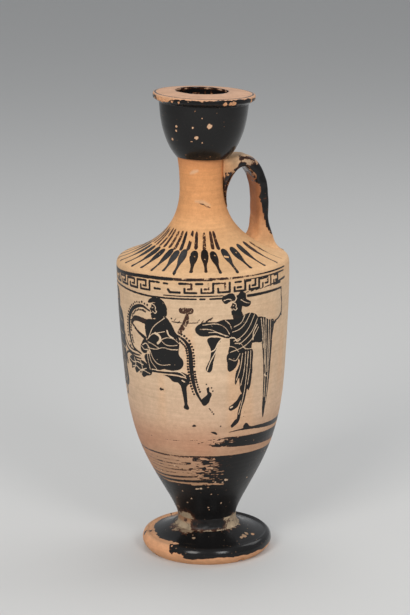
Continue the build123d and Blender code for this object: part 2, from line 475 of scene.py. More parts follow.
bud_angles = [
    -97, -86.5, -76.5, -66.5, -56, -46.5, -36.5, -27.6, -19, -7.8, 2.4, 12, 23.5, 35.2, 47.5, 61, 72,
    *np.arange(-108, -206, -10.8),
]
for degrees in bud_angles:
    faded = ease(degrees, 40, 80)
    top = 24.4 - 1.6 * ease(degrees, 36, 50) + rng.uniform(-0.6, 0.6)
    end = 38.9 + rng.uniform(-0.7, 0.7)
    broad = (3.4 - 1.2 * faded) * rng.uniform(0.92, 1.08)
    bud(degrees, top, end, broad, 1 - 0.38 * faded)
bar_angles = [
    -74, -66, -58, -49.5, -41, -33, -25, -16.5, -7.5, 2.5, 12.5, 19,
    *np.arange(-82, -206, -8.2),
]
for degrees in bar_angles:
    x = on_shoulder(degrees)
    slant = rng.uniform(-0.8, 0.8)
    start = 16.7 + rng.uniform(-0.2, 0.5)
    stop = 22.3 + rng.uniform(-0.5, 0.4)
    shoulder.brush([(x + slant, start), (x, stop)], [2.6, 2.4], rng.uniform(0.62, 0.8))
shoulder.scratch([(on_shoulder(-22), 17.4), (on_shoulder(-12), 18.6)], 1.9, 0.75)
for degrees, reach, size in [
    (-7.6, 26.6, 0.5), (23, 27.6, 1.3), (12.4, 26.2, 0.5), (36, 26, 0.45), (-46, 27, 0.4), (2.2, 28.4, 0.4),
]:
    x = on_shoulder(degrees)
    shoulder.scratch([(x - size / 2, reach), (x + size / 2, reach + 0.4)], size, 0.9)
shoulder.dot(on_shoulder(-19), 39.7, 0.7)


# Key border between its lines

def border(x, level):
    """Points of the key border, level 0 on its lower line and 1 on its upper. It narrows to the left."""
    x = np.asarray(x, float)
    narrow = 1.3 * ease(-x, 24, 54)
    return np.column_stack([x, (118.3 + narrow) * (1 - level) + (127.2 - narrow) * level])


for start, stop, count, level, width, amount in [
    (-141, -14, 60, 1, [1.7, 1.7, 1.7, 1.7, 1.6], 1),
    (-15, 4, 20, 1, [1.6, 1.5, 1.4], 0.72),
    (3, 26, 20, 1.02, [1.4, 1.1, 0.8], 0.66),
    (24, 47, 20, 1.03, [0.5, 0.9, 0.8], 0.9),
    (19, 46, 20, 0.86, [0.4, 0.8, 0.9], 0.86),
    (-141, -20, 60, 0, [1, 1, 0.9], 1),
    (-22, -3, 20, 0, [0.8, 0.9, 0.7], 1),
    (-18, 9, 30, 0.145, [0.6, 0.6, 0.7, 0.6], 1),
    (-1.2, 0.8, 4, 0, 0.9, 1),
    (3.2, 8.4, 4, 0, 0.9, 1),
    (10, 12, 4, 0, 0.9, 1),
    (21, 43.6, 20, 0, [1.4, 1.2, 1], 1),
]:
    wall.brush(border(np.linspace(start, stop, count), level), width, amount)
for start in (-9, 1, 11.5):
    wall.scratch([(start, 127.6), (start + 1.6, 127.4)], 0.8, 0.4)

key_unit = 7.5
key_strokes = [
    ((0, 0), (0, 1)), ((0, 1), (0.36, 1)), ((0.3, 0.45), (0.3, 0)), ((0.3, 0), (1, 0)),
    ((0.36, 1), (0.72, 1)), ((0.72, 1), (0.72, 0.4)), ((0.72, 0.4), (0.5, 0.4)),
]
worn_keys = {
    -3: [((0, 0), (0, 1)), ((0, 1), (0.36, 1)), ((0.5, 1), (0.68, 0.98)), ((0.36, 0.28), (0.74, 0.26))],
    -2: [((0, 0.95), (0.25, 0.93)), ((0.28, 0.3), (0.38, 0.04)), ((0.38, 0), (1, 0))],
}
for k in range(-18, 6):
    for part, stroke in enumerate(worn_keys.get(k, key_strokes)):
        faint = -2 < k < 2 and part > 3
        if k > -2 and rng.uniform() > (0.5 if faint else 0.9):
            continue
        corners = [border([(k + px) * key_unit - 2.9], 0.32 + 0.47 * py)[0] for px, py in stroke]
        wall.brush(corners, 1.06 * rng.uniform(0.85, 1.15), 0.62 if faint else rng.uniform(0.88, 1))
wall.sweep([(31, 121), (38, 121.7), (47, 122.4)], [0.5, 0.9, 1.1], 0.92)
for start in np.arange(20, 33, 2.6):
    rise = (start - 20) * 0.08
    wall.brush([(start, 120 + rise), (start + 1.2, 120.2 + rise)], 0.5, 0.9)


# Figures, in the stock manner of such flasks: draped forms in slip with scratched folds

def leafy_branch(points, first, last, count, spread):
    """A branch with dots for leaves on both sides, from a first to a last share of its length."""
    line = loose_line(points, 160)
    wall.brush(line, [0.7, 1.7, 2.1, 1.9, 1.3, 0.9])
    steps = np.concatenate([[0], np.cumsum(np.linalg.norm(np.diff(line, axis=0), axis=1))])
    for at in np.linspace(steps[-1] * first, steps[-1] * last, count):
        here = np.array([np.interp(at, steps, line[:, k]) for k in (0, 1)])
        ahead = np.array([np.interp(at + 0.5, steps, line[:, k]) for k in (0, 1)])
        side = np.array([-(ahead - here)[1], (ahead - here)[0]]) / max(np.linalg.norm(ahead - here), 1e-6)
        for sign in (-1, 1):
            spot = here + sign * side * spread * rng.uniform(0.88, 1.12)
            if rng.uniform() < 0.95:
                wall.dot(*spot, rng.uniform(0.95, 1.2))


def calm_head(pen, x, y, tall):
    """A plain head in profile, looking the figure's way: brow, straight nose, closed lips and beard."""
    scale = tall / DRAWN_HEAD

    def at(*points):
        return [(x + px * scale, y + py * scale) for px, py in points]

    pen.fill(*at(
        (-0.6, 7.6), (-2.3, 7), (-2.9, 5.4), (-3.6, 4), (-3, 3.4), (-3.1, 2.6), (-3.2, 1), (-2.6, -0.4),
        (-1.2, 0), (0.6, -0.8), (2.4, -0.6), (3, 2.2), (3, 5.2), (1.6, 7.4),
    ))
    pen.scratch(*at((-2.4, 5), (-1.6, 5.15)), width=0.36)
    pen.scratch(*at((-3.1, 2.6), (-2.3, 2.6)), width=0.36)
    pen.scratch(*at((-2.2, 6.9), (-0.9, 6.2), (-0.3, 5.2), (-0.5, 4), (0.2, 3.4)), width=0.45)
    pen.scratch(*at((0.2, 3.4), (-0.6, 2.4), (-1.5, 2.9), (-2.2, 3.3)), width=0.45)


def seated_figure(x, facing):
    """A bearded figure in a mantle, seated on a folding stool and leaning a little forward."""
    pen = Drawn(wall, x, facing)
    calm_head(pen, -3.6, 108.2, 8.2)
    pen.fill(
        (-8, 115.2), (-7.2, 116.8), (-4, 118), (-0.8, 117.4), (1.4, 115), (2, 111.6), (1.2, 109.4),
        (-0.2, 109.2), (-1.4, 111.4), (-2.4, 113.6), (-4.4, 115.6), (-6.6, 115.2),
    )
    pen.fill(
        (-9.6, 106.6), (-4.4, 107.8), (0.4, 109.6), (3.2, 107.2), (5.4, 103), (7, 100.2), (7.2, 94.8),
        (7, 91.6), (8.8, 89.4), (8.4, 86), (5, 84.2), (-1, 84.2), (-6.2, 83.4), (-8, 88), (-8.8, 93.4),
        (-9.9, 98.4), (-10.6, 102.6),
    )
    pen.sweep(
        (-9.4, 105.7), (-14, 106.4), (-18.4, 105.6), (-19.8, 103.8), width=[2.8, 2.6, 2.6, 1.6],
        amount=0.86,
    )
    pen.sweep((-19.6, 103.4), (-15.4, 100.2), (-11, 98), width=[1.2, 1.5, 1.8], amount=0.84)
    pen.fill((-11, 97.6), (-13.4, 95.2), (-14.4, 92.2), (-12.4, 90.4), (-10, 91.4), (-8.8, 94))
    pen.fill((-9.4, 90.6), (-12.2, 89.2), (-10.8, 85.6), (-8.4, 82.4), (-5.6, 83), (-6.2, 88.8))
    pen.fill(
        (-11, 85.4), (-13.6, 86.6), (-17.2, 86.2), (-20.6, 87.4), (-24.4, 86.6), (-25.2, 84.4),
        (-23.2, 83.4), (-23.4, 81.2), (-20.8, 81.8), (-19.6, 79.8), (-16.6, 80.6), (-13.8, 78.6),
        (-11.6, 79.6), (-8.4, 80.8), (-8, 83),
    )
    pen.scratch((-24.6, 85.6), (-21, 84.6), (-18.4, 85.2), (-13.6, 84.6), width=0.5)
    pen.scratch((-22.2, 82.4), (-18.6, 83), (-16.2, 82), (-11.4, 83.2), width=0.5)
    pen.scratch((-17.6, 80.4), (-14.6, 81.8), (-9.4, 81), width=0.45)
    pen.scratch((-20.2, 87), (-19.4, 83.8), (-20.6, 81.8), width=0.5)
    pen.scratch((-15.6, 86.4), (-14.4, 83.6), (-15.2, 80), width=0.42)
    pen.sweep(
        (-30.4, 106.6), (-30, 98), (-27.6, 91.8), (-22.4, 89), (-15.4, 88.8),
        width=[0.7, 1.1, 1.3, 1.3, 0.7],
    )
    pen.sweep((-28.4, 98), (-26.4, 93.8), (-22.8, 91.2), (-16, 90.4), width=[0.5, 0.8, 0.9, 0.7])
    pen.sweep(
        (-27.6, 83), (-28, 87), (-25.4, 88.6), (-20.4, 87.6), (-14.8, 87.2),
        width=[1.6, 1.2, 0.9, 0.9, 0.7],
    )
    pen.sweep((-8.2, 82.4), (1, 82.9), (8, 82.6), (11, 81), (10.8, 78.4), width=[0.8, 1, 1.4, 1.8, 1.4])
    pen.fill(
        (-1.6, 81.4), (4, 81.6), (8.2, 81), (10.4, 80.2), (10, 76.6), (7.6, 76.8), (6.2, 78.2),
        (3.2, 78.8), (1.6, 80.4),
    )
    pen.sweep((8.6, 77.6), (9.2, 72), (9.6, 66.6), width=[2.8, 2, 1.5])
    pen.fill((8.2, 66.6), (9.2, 65.6), (10.8, 65.8), (10.6, 67.4), (9, 67.8))
    pen.scratch((8, 79.6), (9.2, 79), width=0.7)
    pen.folds(
        ((-8.9, 98), (-6, 103.4), (0.6, 108.8)),
        ((-9.4, 97.6), (-6.4, 100.4), (-4, 101.2), (0.4, 102.4)),
    )
    pen.scratch((-4.6, 101), (-2.6, 100), (-2.2, 98), (-3.6, 96.4), width=1.2)
    pen.scratch((1.6, 103), (2.4, 100.8), (4.4, 99.6), width=0.8)
    pen.folds(
        ((-3.8, 96.4), (-1, 98.6), (2, 99.6), (5.4, 98.8), (7.2, 97.2)),
        ((-1.8, 98), (-0.2, 96.6), (2.4, 95.8), (6.4, 96.4)),
        ((-9.6, 93.4), (-4, 93.6), (-1, 94.6), (2, 94.2), (6.6, 94.2)),
    )
    pen.scratch((-9.2, 96.4), (-6, 95.4), (-3.4, 94.2), width=0.4)
    pen.folds(
        ((-8.4, 92.6), (-7, 89), (-3.4, 86.2), (2.4, 86.8)),
        ((-9, 92.8), (-8.2, 87.4), (-5, 83.8)),
        ((-10, 92.6), (-10, 88), (-9, 83.2)),
    )
    pen.scratch((-8.8, 93.6), (-10.6, 95.4), (-12.8, 94.4), width=0.55)
    pen.scratch((-13.6, 93.6), (-12.2, 92.4), (-9.6, 92.6), width=0.5)
    pen.scratch((-8, 83.4), (2, 83.5), (8, 83), (9.8, 81.6), width=0.5)


def standing_figure(x):
    """A figure in a broad hat and a wide mantle, one arm held out under the cloth."""
    pen = Drawn(wall, x)
    calm_head(pen, 0.4, 110.4, 7)
    pen.fill(
        (-6.2, 116.8), (-6.4, 118.8), (-4.6, 119.8), (-2, 120.4), (0.6, 119.2), (2.2, 120.6),
        (4.8, 119.6), (5.2, 117), (7.6, 115.2), (7, 113.8), (3.6, 113.6), (1.8, 114.8), (-0.6, 116.6),
        (-3, 116.4), (-4.6, 115.6),
    )
    pen.scratch((-0.4, 119.6), (0.2, 117.8), (-0.6, 116.4), width=0.5)
    pen.scratch((-5.6, 117.2), (-3.4, 117.8), (-2, 117.2), width=0.42)
    pen.scratch((2.4, 117), (4.4, 115.6), (6.6, 114.8), width=0.42)
    pen.fill((-1.2, 111.6), (-0.8, 107.6), (3, 107.4), (3.2, 111), amount=0.84)
    pen.fill(
        (-5.3, 108.2), (-2, 108.2), (1.8, 108.6), (6, 110.2), (9.4, 109.6), (12.2, 106.6), (12.9, 102.6),
        (14, 95.2), (8.6, 95.4), (8.2, 92.6), (2.4, 91.2), (-3.4, 92), (-2.8, 97), (-3.2, 100.6),
    )
    pen.fill(
        (-18.8, 104), (-16.8, 106.6), (-13, 107.6), (-9, 107.4), (-5, 108.4), (-2, 104.6), (-2.8, 99.4),
        (-6, 100), (-10, 101.2), (-13.8, 100.8), (-17.4, 101.6),
    )
    pen.fill(
        (-13.2, 99.6), (-9, 100.2), (-6.8, 99.4), (-8.4, 96.6), (-9.4, 93), (-10.6, 88.6), (-12.6, 83.6),
        (-13.8, 84.2), (-12.2, 90), (-11.8, 94.2),
    )
    pen.fill((-3.6, 92.2), (-4, 86.8), (-3.2, 83.4), (-0.6, 84.4), (1.4, 88.8), (1, 92))
    pen.fill(
        (-1, 91.6), (8.6, 93), (9.1, 86), (8.6, 77), (7.2, 73.2), (5.8, 75), (5, 70.6), (3.4, 72.4),
        (1.6, 79.6), (0.2, 76.4), (0, 81.4), (2, 88.6),
    )
    pen.sweep((5.4, 76), (4.4, 69), (2.8, 63.4), (1.6, 58.4), (-0.2, 57), width=[2.8, 2.2, 1.8, 1.8, 1.8])
    pen.sweep((3.4, 71), (1.6, 68.2), (-0.2, 66.4), (-1.8, 65.6), width=[2, 1.9, 2.9, 2.6])
    pen.scratch((-1.2, 66.2), (-2.2, 65.9), width=0.8)
    pen.sweep((1.4, 58.8), (-0.8, 56.6), width=[2.2, 1.8])
    pen.folds(
        ((4.4, 109.4), (2.8, 106.4), (-1, 104.4)),
        ((7.4, 110.2), (4.8, 105.8), (0.4, 102.6), (-1.6, 102.2)),
        ((9.6, 109), (6.8, 103.6), (1.6, 98.8), (-1, 97.8)),
        ((11.4, 107), (8.8, 102), (4, 97.4), (1.8, 96)),
        ((12.8, 104), (9.6, 99), (4, 94.6), (-2.6, 92.6)),
        ((-5, 108), (-3, 106), (-2, 103.6)),
        ((-16.6, 104.2), (-12, 104), (-7.4, 101.8), (-3.6, 100.4)),
        ((-15.4, 106.2), (-9.4, 106.6), (-4.6, 104), (-3, 101.2)),
        ((-12.6, 102.6), (-8.4, 102.4), (-4.6, 100.4)),
    )
    pen.scratch((-2.8, 99.4), (-0.6, 99.2), (0.8, 97.6), (2.2, 98.4), width=0.6)
    pen.folds(
        ((-0.4, 96.6), (2.2, 96.4), (4.6, 93.8), (8.2, 93)),
        ((-3, 95.6), (-0.4, 94.6), (1.4, 92.6)),
    )
    pen.scratch((-6.2, 99.8), (-8.4, 97.4), (-10.2, 94.2), (-12.6, 93.2), width=0.6)
    pen.scratch((-7.8, 97.4), (-10, 92.4), (-12.2, 88.4), (-13.6, 84.4), width=0.5)
    pen.folds(
        ((-3.2, 89.6), (0, 88.4), (2.2, 91.4)),
        ((3.6, 91.4), (2.4, 84), (0.6, 79)),
        ((5.2, 92), (4.4, 82), (2.8, 76)),
        ((6.6, 92), (6, 82), (4.6, 71), (2.4, 62)),
        ((8, 92.4), (7.8, 84), (6.6, 76)),
    )
    pen.scratch((9, 97.2), (9.2, 100.4), (11.2, 104), width=0.6)


def hanging_cloth(x):
    """The loose end of the mantle in narrow folds, in thin brown slip."""
    pen = Drawn(wall, x)
    pen.fill(
        (-0.8, 107.6), (3.4, 106.6), (6.4, 105), (9.2, 104.8), (9.2, 97), (8.8, 88), (8.2, 76), (7.4, 68),
        (6.6, 63), (5.8, 57.6), (4.9, 60), (4.2, 68), (3.6, 80), (2.4, 91), (0.9, 99), amount=0.86,
    )
    for start, low, end in [
        (0.9, 92, 3), (2.4, 84, 4.2), (4, 68, 5.2), (5.8, 80, 6.2), (7.4, 66, 6.6),
    ]:
        pen.scratch((start, 106.6), ((start + end) / 2 + 0.2, (106.6 + low) / 2), (end, low), width=0.42)
    pen.scratch((4.4, 79), (5.8, 78), width=0.7)
    pen.sweep((8.4, 104), (10, 102.8), (11.4, 103.2), width=[1.6, 1.4, 1.2], amount=0.9)
    pen.sweep((10.8, 103.6), (14, 104.4), (16.4, 106.2), width=[0.8, 0.9, 1.6], amount=0.9)
    pen.sweep((16.6, 105.4), (16.4, 112), (15.6, 118.2), width=[1.4, 0.9, 1.1], amount=0.92)


def wrapped_figure(x):
    """A bystander wrapped to the chin in a mantle, drawn as one tall form with folds."""
    pen = Drawn(wall, x)
    calm_head(pen, -0.4, 109.4, 8.2)
    pen.fill((-3.4, 116.4), (-1, 118), (2, 117), (3.2, 113.4), (2.8, 109.6), (1, 110.6), (0, 114.4))
    pen.fill(
        (-4.6, 107.2), (-1.6, 109.4), (2.8, 109.2), (6.2, 106.8), (7.6, 100), (7.4, 90), (6.6, 80),
        (6.8, 72.4), (2, 70.6), (-3, 71.8), (-5.4, 74), (-5, 84), (-6.4, 92), (-8.6, 97.4), (-7, 102.6),
    )
    pen.sweep((-2.6, 71.6), (-3.4, 67.4), (-6.4, 66.2), width=[2.4, 1.6, 1.2])
    pen.sweep((3, 71), (2.4, 67.2), (-0.4, 66), width=[2.4, 1.6, 1.2])
    pen.folds(
        ((-3, 108.2), (0.8, 104), (6.8, 101.6)),
        ((-6.6, 101.6), (-1, 97.6), (7, 95.6)),
        ((-7.6, 97.6), (-3, 92.6), (7, 89.4)),
    )
    for shift in (-3.4, -1, 1.6, 4.2):
        pen.scratch((shift - 0.6, 91 - shift * 0.4), (shift, 82), (shift + 0.2, 72.4))


wrapped_figure(-54.5)
seated_figure(-18.6, 1)
seated_figure(-92, -1)
wrapped_figure(-122)
left_branch = [
    (-25.8, 111.2), (-29.6, 112.8), (-34.6, 112), (-39.2, 108.2),
    (-41, 102.6), (-40.8, 96.6), (-38.6, 92), (-33, 89.8),
]
middle_branch = [
    (-12.4, 101.4), (-8.8, 98.8), (-6.6, 95), (-6.1, 89.6), (-5.4, 80.4), (-3, 72.4), (-0.3, 68),
]
leafy_branch(left_branch, 0.06, 0.8, 22, 1.8)
leafy_branch(middle_branch, 0.05, 0.82, 23, 1.55)
# Tip of the middle branch, and dabs round it
wall.fill([
    (-1.6, 70.2), (-0.2, 67.6), (1.6, 68.6), (2.8, 71.2), (3.4, 73.6),
    (2.4, 74.4), (2.2, 76.6), (1.4, 76.4), (1.2, 73), (-0.4, 71.6),
])
for dot_x, dot_y in [(3.4, 76.2), (1, 78), (4, 74.6), (3.6, 64.4), (4.4, 63.4)]:
    wall.dot(dot_x, dot_y, 0.8)
wall.brush([(2.2, 66.2), (3, 65.2)], 0.5)
standing_figure(15)
hanging_cloth(27.6)
# A cup on a tall stand between the two figures, in thin brown slip, and a twig with dabs beside it
cup = [
    (-10.8, 113.8), (-9, 114.4), (-6.4, 114.2), (-4.4, 113.9),
    (-4.6, 111.6), (-6.6, 111.2), (-8.8, 111.3), (-10.6, 111.8),
]
wall.fill(cup, 0.6)
wall.sweep([(-7.2, 111), (-7.6, 108.4), (-8.8, 105.8), (-11, 102.6)], [1.6, 2.8, 2.6, 2], 0.66)
for dab_x, dab_y in [
    (-13.2, 108.6), (-11.6, 107.4), (-2.6, 108.2), (-0.8, 107.8), (1.6, 108.4), (3.2, 108.8),
]:
    wall.brush([(dab_x, dab_y - 0.5), (dab_x + 0.9, dab_y + 0.5)], 0.45, 0.85)
wall.brush([(-14.4, 107.4), (-8.6, 107), (-2.2, 107.3)], [0.6, 0.5, 0.35], 0.9)
wall.brush([(1.4, 107.8), (4.2, 109.6)], [1, 0.5], 0.85)
wall.dot(-14.6, 108.9, 0.9)

# Bands below the figures: a thin one, a broad one and the black foot of the body
long_streaks = wheel_lines(place, 24, 0.8, 21) - 0.5
short_streaks = wheel_lines(place, 7, 0.45, 22) - 0.5
dashes = wheel_lines(place, 3.4, 0.38, 23) - 0.5


def worn_by(kept):
    """Slip cover where this share is left: streaked by the wheel, most of all where half is gone."""
    loose = 0.35 + 0.65 * (1 - np.abs(2 * kept - 1))
    left = 0.12 + 0.88 * kept + (0.9 * long_streaks + 0.9 * short_streaks + 0.9 * dashes) * loose
    return ease(left, 0.2, 0.74)


thin_band = [(12.6, 53.5), (16, 53.9), (22.4, 54.2), (36, 53.4), (49, 52.7), (70, 52.8), (110, 53)]
wall.sweep(thin_band, [0.3, 1.6, 2.6, 2.8, 2.8, 2.6, 2.6])
wall.fill([(20.6, 55), (21.6, 57), (23, 56.8), (24.4, 55.4), (26, 54.8)])
wall.sweep([(-141, 53.2), (-120, 53.4), (-92, 53.6)], [2.4, 2.4, 1.2])
below_edge = outside & (height < EDGE_LEVEL)
# The bands sink towards the right and come back up on the far side
sunk = np.clip(angle - 13, -10, 62) - 72 * ease(angle, 88, 154)
broad_top = 51.2 - 0.027 * sunk
broad_low = 46.2 - 0.05 * sunk
in_band = between(height, broad_low - 0.25, broad_low + 0.25, broad_top - 0.25, broad_top + 0.25)
band_left = np.maximum(ease(angle, -20, 46), fade(angle, -156, -90))
brown_low = 0.3 * between(angle, 42, 62, 78, 96) * fade(height - broad_low, 1.4, 3.4)
wall.cover = np.maximum(wall.cover, in_band * below_edge * (worn_by(band_left) - brown_low))
black_top = 41.7 - 0.016 * (np.clip(angle, 0, 66) - 66 * ease(angle, 88, 154))
below = fade(height, black_top - 0.2, black_top + 0.3)
slant = 0.7 * (height - 33)
kept = np.maximum(ease(angle + slant, -36, 44), fade(angle - slant, -162, -88))
kept = np.maximum(kept, fade(height + 0.016 * angle, 22.6, 26))
wall.cover = np.maximum(wall.cover, below * worn_by(kept) * below_edge)
# Lines that the brush left in the worn part
for line, width, amount in [
    ([(-62, 40.7), (-40, 40.9), (-16, 41.1), (3, 41.4)], [1.3, 1.2, 1, 1], 0.64),
    ([(-50, 26.9), (-36, 26.6), (-22, 26.9), (4, 27.8)], [1.6, 1.3, 1.4, 1.5], 0.9),
    ([(-52, 28.9), (-36, 28.7), (-24, 29.1), (-6, 30.2)], [1.3, 1, 1.2, 0.9], 0.76),
    ([(-47, 31.4), (-34, 31), (-20, 31.5)], [0.7, 0.9, 0.6], 0.58),
    ([(-50, 24.9), (-34, 24.6), (-12, 25)], [1.2, 1.1, 1.4], 0.74),
    ([(-60, 37), (-34, 36.6), (-12, 36.8)], [0.5, 0.8, 0.6], 0.56),
    ([(-56, 35.4), (-36, 35), (-18, 35.2)], [0.4, 0.7, 0.5], 0.52),
    ([(-46, 33.6), (-30, 33.2), (-10, 33.8)], [0.5, 0.7, 0.9], 0.6),
    ([(-50, 38.8), (-30, 38.5), (-16, 38.7)], [0.3, 0.6, 0.5], 0.52),
    ([(-40, 49.8), (-20, 49.4), (-4, 50.2)], [0.4, 0.5, 0.6], 0.46),
]:
    wall.sweep(line, width, amount)
# Stray drops of slip
for dot_x, dot_y, size, amount in [
    (-22, 74.4, 1.5, 1), (-20.8, 74.4, 1, 1),
    (8, 57, 0.9, 0.9), (20.6, 62.8, 0.6, 0.8), (20.4, 60.6, 0.6, 0.8),
]:
    wall.dot(dot_x, dot_y, size, amount)
wall.fill([(2.8, 54.4), (4.4, 53.4), (6.4, 52.9), (6, 53.8), (4.2, 54.5)])
wall.fill([(-6.6, 57.2), (-5.6, 58.2), (-4.4, 57.4), (-5.4, 57)])

vessel.gloss = np.where(outside, np.maximum(wall.cover, shoulder.cover), 0)
vessel.pale = 0.7 * wall.cut


# Chips through the black slip of the lower wall

# The first rows of the outline, which reach above every chip
lower_wall = outer_line[:200]


def chip_wall(degrees, level, size, depth, seed, pale):
    radius = float(np.interp(level, lower_wall[:, 1], lower_wall[:, 0]))
    vessel.dent(degrees, radius, level, size, depth, seed, pale)


for k in range(20):
    chip_wall(rng.uniform(-150, 80), rng.uniform(6, 38), rng.uniform(0.34, 0.5), 0.08, k, 0.5)
for degrees, level, size in [
    (21, 27.6, 0.75), (23, 27.3, 0.5), (-6, 23.2, 0.7), (-9, 22.9, 0.55), (-11.5, 22.8, 0.6),
    (-21, 16.7, 0.5), (23, 13.7, 0.5), (52, 25.8, 0.55), (3, 11.7, 0.5), (-31, 20.7, 0.4), (10, 26.8, 0.5),
]:
    chip_wall(degrees, level, size, 0.14, int(level * 7), 0.6)

# Marks on the neck: two dark strokes and two rubbed places
neck = Ground(np.radians(angle) * NECK_RADIUS, np.where(outside & (height > 146), height, OFF_GROUND))
neck.brush([(-1, 156.5), (0.3, 156.1), (1.4, 155.7)], [0.35, 0.8, 0.4])
neck.brush([(1.7, 155.2), (2.9, 154.7), (4, 154.4)], [0.4, 0.6, 0.3], 0.9)
vessel.gloss = np.maximum(vessel.gloss, neck.cover)
rubbed = Ground(neck.x, neck.y, 0.5)
rubbed.sweep([(-5.4, 170.2), (-3.6, 171), (-1.8, 171.5)], [0.8, 1.7, 1], 0.4)
rubbed.sweep([(-3, 157.4), (0.6, 156.9), (3.8, 155.4)], [0.8, 1.8, 0.8], 0.3)
vessel.pale = np.maximum(vessel.pale, rubbed.cover)

# Crust and rust at the foot of the body
stem_noise = 4.4 * grain(place, 2.4, 74) + 2.4 * grain(place, 0.8, 75)
stem_left = near_angle(angle, -48, 14, 34)
stem_right = near_angle(angle, 56, 12, 30)
crust_top = 2.0 + 5.6 * stem_left + 3.6 * stem_right + stem_noise
stem_crust = outside * fade(height, crust_top - 1.6, crust_top + 1)
stem_crust *= np.maximum(stem_left, stem_right)
stem_rust = outside * stem_left * fade(height, crust_top + 2.2, crust_top + 5)
vessel.gloss = np.clip(vessel.gloss - 0.66 * stem_crust - 0.3 * stem_rust * (1 - stem_crust), 0, 1)

# Colour of the bare clay by height, darkest at the top of the neck as painted shade under the mouth
clay_and_shade_by_height = colour_by(height, [
    (0, (178, 132, 104)), (24, (182, 142, 110)), (46, (192, 150, 120)), (62, (212, 178, 148)),
    (90, (218, 188, 156)), (117, (218, 186, 152)), (128, (224, 182, 138)), (134, (228, 182, 132)),
    (143, (226, 172, 120)), (152, (220, 158, 104)), (170, (214, 148, 94)), (177, (198, 132, 84)),
])
patch = lumps(place, 17, 31)
mottle = lumps(place, 4, 32)
wheel = wheel_lines(place, 30, 2.4, 33)
brushed = wheel_lines(place, 26, 0.75, 35)
shade = 1 + 0.16 * (patch - 0.5) + 0.07 * (mottle - 0.5) + 0.09 * (wheel - 0.5) + 0.09 * (brushed - 0.5)
vessel.clay = clay_and_shade_by_height * shade[:, None]
worn_side = near_angle(angle, -46, 52, 66)
flush = worn_side * fade(height, 44, 66) * ease(patch, 0.3, 0.8) * 0.5
runs = ease(lumps(place / np.array([1, 1, 6]), 7, 34), 0.5, 0.85)
warm = 0.34 * runs * between(height, 46, 60, 108, 122)
vessel.clay = tinted(vessel.clay, flush, 186, 128, 98)
vessel.clay = tinted(vessel.clay, warm, 226, 172, 124)
vessel.clay = tinted(vessel.clay, stem_rust, 140, 92, 62)
vessel.clay = tinted(vessel.clay, stem_crust, 166, 146, 120)
vessel.clay[~outside] = linear(150, 100, 70)

# Mouth: a cup with a flat rim, hollow down to the bore

LIP_RADIUS = 23.6
RIM_LEVEL = 28.9
OPENING_SHIFT = 1.1
round_angles = np.arange(-180, 180, 0.75)
cup_foot, cup_top = (12.4, 0), (20.9, 25.3)
lip_low, lip_high = (LIP_RADIUS, 27.1), (LIP_RADIUS, 29.4)
opening, bore = (12.3, 30.4), (6.6, 0)
cup_line = smooth_line([cup_foot, (18.5, 11.3), cup_top], (1, 1.1), (0.08, 1), 60)
lip_under = np.linspace(cup_top, lip_low, 14)
lip_edge = np.linspace(lip_low, lip_high, 24)
rim_top = np.linspace(lip_high, opening, 60)
lip_line = round_corner(round_corner(lip_under, lip_edge, 0.45), rim_top, 0.65)
throat_line = smooth_line([opening, (13.6, 22), bore], (0.3, -1), (0, -1), 40)
seat_line = np.linspace(bore, cup_foot, 8)[:-1]
mouth_line = np.vstack([
    seat_line,
    respace(cup_line, lambda radius, height: 0.45),
    lip_line[1:],
    throat_line[1:-1],
])
mouth = Turned(mouth_line, round_angles, (16, 22))
place = mouth.points()
on_cup = (mouth.row > len(seat_line)) & (mouth.radius > 12) & (mouth.height < 25.5)
mouth.radius -= np.where(on_cup, 0.07 * wheel_lines(place, 30, 1.3, 41) + 0.18 * lumps(place, 11, 42), 0)
mouth.height -= np.where(mouth.height > 26, 0.22 * lumps(place, 14, 43), 0)
# The opening sits a little to one side of the rim
throat = mouth.row >= len(mouth_line) - len(throat_line) + 3
by_opening = (mouth.height > 20) & (throat | (mouth.height > RIM_LEVEL))
aside = np.where(by_opening, fade(mouth.radius, 13.5, 22), 0)
shift = OPENING_SHIFT * aside * np.cos(np.radians(mouth.angle + 90))
mouth.radius += shift
# Paint: black all over but for the rim, which has a black ring, and the worn edge of the lip
on_rim = (mouth.height > RIM_LEVEL) & (mouth.radius < 23.2)
edge_face = (mouth.radius > 22.6) & (mouth.height > 26.4) & ~on_rim
coarse_chips = grain(place, 2, 45)
fine_chips = grain(place, 0.8, 48)
mouth.gloss[:] = 1.0
off_ring = mouth.radius - 22.5 + 0.3 * grain(place, 7, 44)
ring = np.exp(-((off_ring / 0.42) ** 2)) * ease(lumps(place, 4, 49), 0.1, 0.4)
throat_edge = fade(mouth.radius - shift + 0.8 * coarse_chips, 12.2, 12.9)
mouth.gloss[on_rim] = np.clip(0.95 * ring + 0.7 * throat_edge + 0.06, 0, 1)[on_rim]
left_wear = between(mouth.angle, -70, -60, -46, -37)
right_wear = between(mouth.angle, 58, 70, 96, 112)
front_wear = between(mouth.angle, -98, -88, 8, 16)
clay_from = 29.05 - 1.7 * left_wear - 0.7 * right_wear - 0.4 * front_wear
clay_from += 0.9 * coarse_chips + 0.7 * fine_chips
mouth.gloss[edge_face] = fade(mouth.height, clay_from - 0.2, clay_from + 0.2)[edge_face]
throat_flecks = ease(lumps(place, 1.3, 50), 0.66, 0.8)
mouth.gloss[throat] = (0.97 - 0.5 * throat_flecks)[throat]
